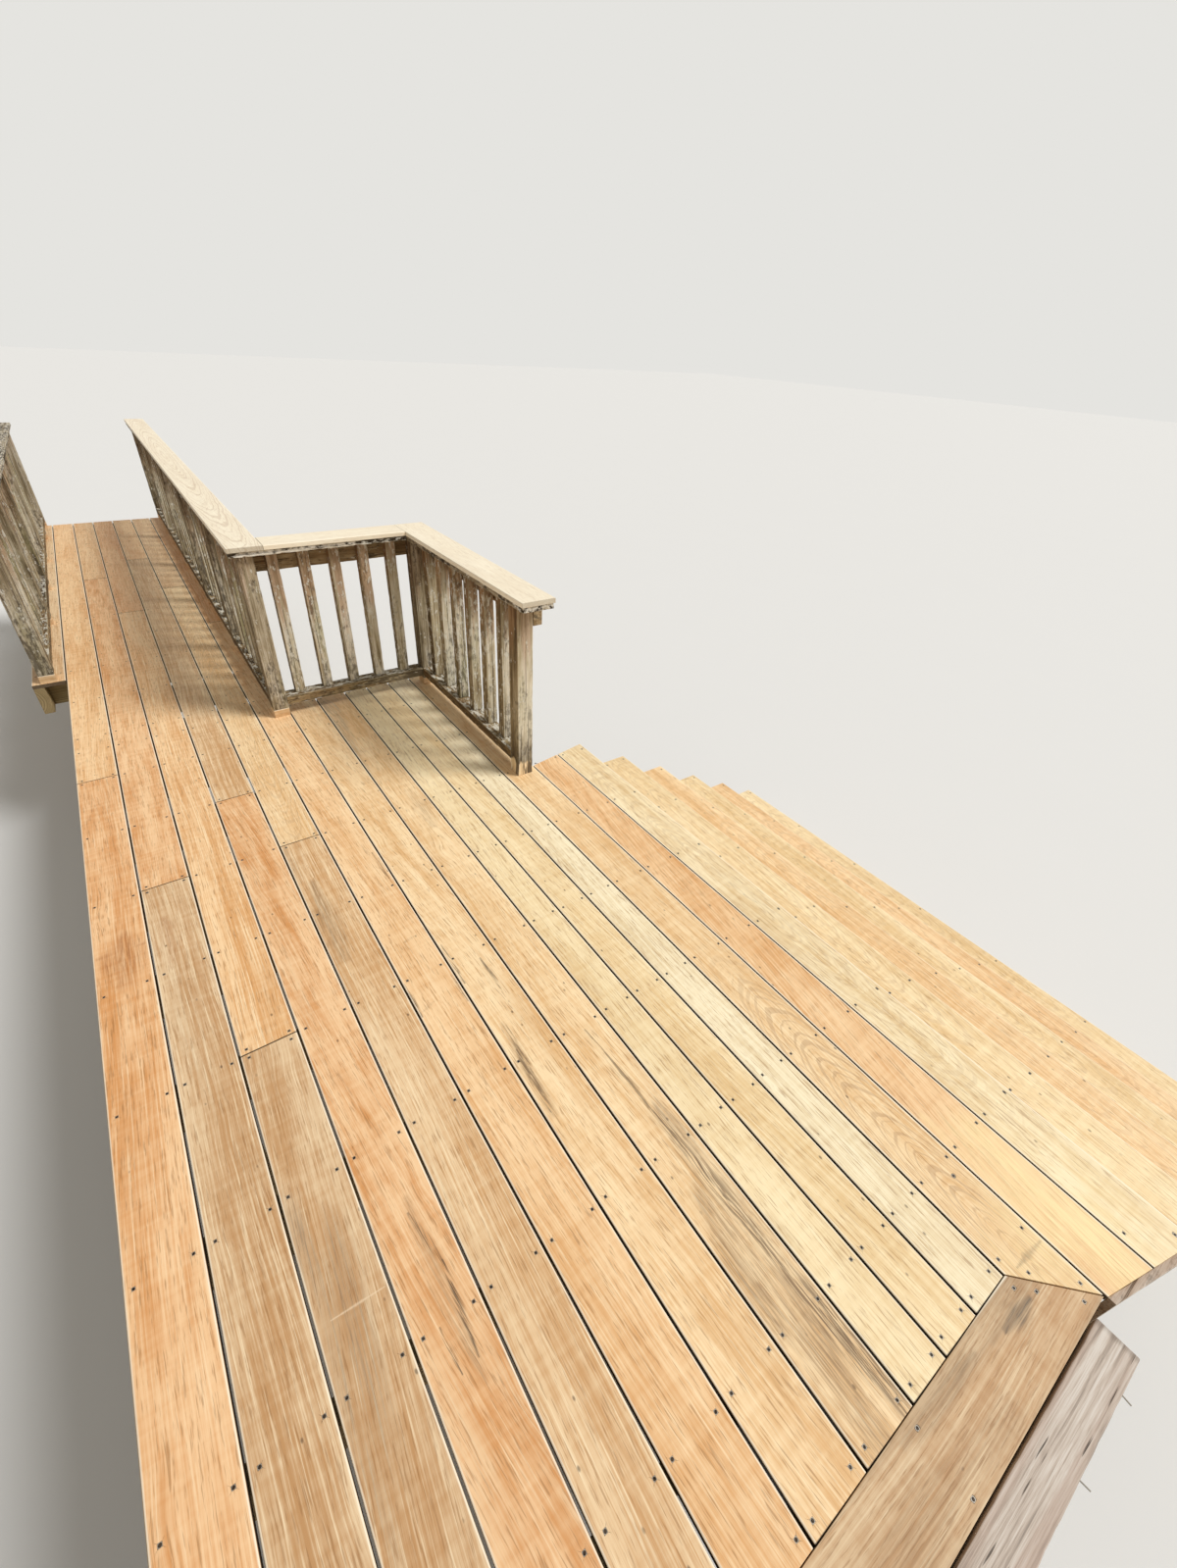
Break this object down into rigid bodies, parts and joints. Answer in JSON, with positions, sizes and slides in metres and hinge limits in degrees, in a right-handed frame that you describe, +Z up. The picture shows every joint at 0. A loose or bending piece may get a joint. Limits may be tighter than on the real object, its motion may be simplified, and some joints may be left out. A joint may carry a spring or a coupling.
{
  "type": "wooden deck stairs",
  "caption": "Raised timber deck with a wide flight of stairs, a long side walkway and weathered balustrades carrying newer cap boards.",
  "frame": {"origin": "centre of the footprint's bounding box at ground level", "axes": "+Z up, +X from the house wall out over the deck and down the stairs, +Y along the boards and the walkway, away from the near end"},
  "size_m": [3.45, 7.7782, 1.712],
  "materials": {
    "new_decking": "new planed hardwood, bare",
    "new_cap": "new sawn pine, bare",
    "old_cap": "weathered, grey with lichen",
    "old_post": "weathered grey-brown with mould",
    "old_baluster": "weathered grey-brown with green lichen",
    "old_rail": "dark weathered with pale flakes",
    "old_edge": "silver-grey weathered",
    "packer": "new timber offcuts",
    "framing": "treated sawn pine"
  },
  "bodies": {
    "root": {"walkway_boards": "new_decking", "wide_deck_boards": "new_decking", "mitred_frame_board": "new_decking", "cross_board": "new_decking", "stair_head_boards": "new_decking", "tread_1": "new_decking", "tread_2": "new_decking", "tread_3": "new_decking", "tread_4": "new_decking", "tread_5": "new_decking", "riser_boards": "new_decking", "walkway_cap": "new_cap", "short_cap": "new_cap", "stair_cap": "new_cap", "walkway_old_cap": "old_cap", "short_old_cap": "old_cap", "stair_old_cap": "old_cap", "left_old_cap": "old_cap", "corner_posts": "old_post", "stair_end_post": "old_post", "walkway_posts": "old_post", "left_posts": "old_post", "walkway_balusters": "old_baluster", "short_balusters": "old_baluster", "stair_balusters": "old_baluster", "left_balusters": "old_baluster", "walkway_bottom_rail": "old_rail", "short_bottom_rail": "old_rail", "stair_bottom_rail": "old_rail", "left_bottom_rail": "old_rail", "walkway_top_rail": "old_rail", "short_top_rail": "old_rail", "stair_top_rail": "old_rail", "left_top_rail": "old_rail", "old_edge_beam": "old_edge", "old_side_strip": "old_edge", "post_packers": "packer", "deck_joists": "framing", "edge_joists": "framing", "wall_ledger": "framing", "bearers": "framing", "stair_stringers": "framing", "stair_foot_plate": "framing", "piles": "framing"}
  },
  "joints": []
}
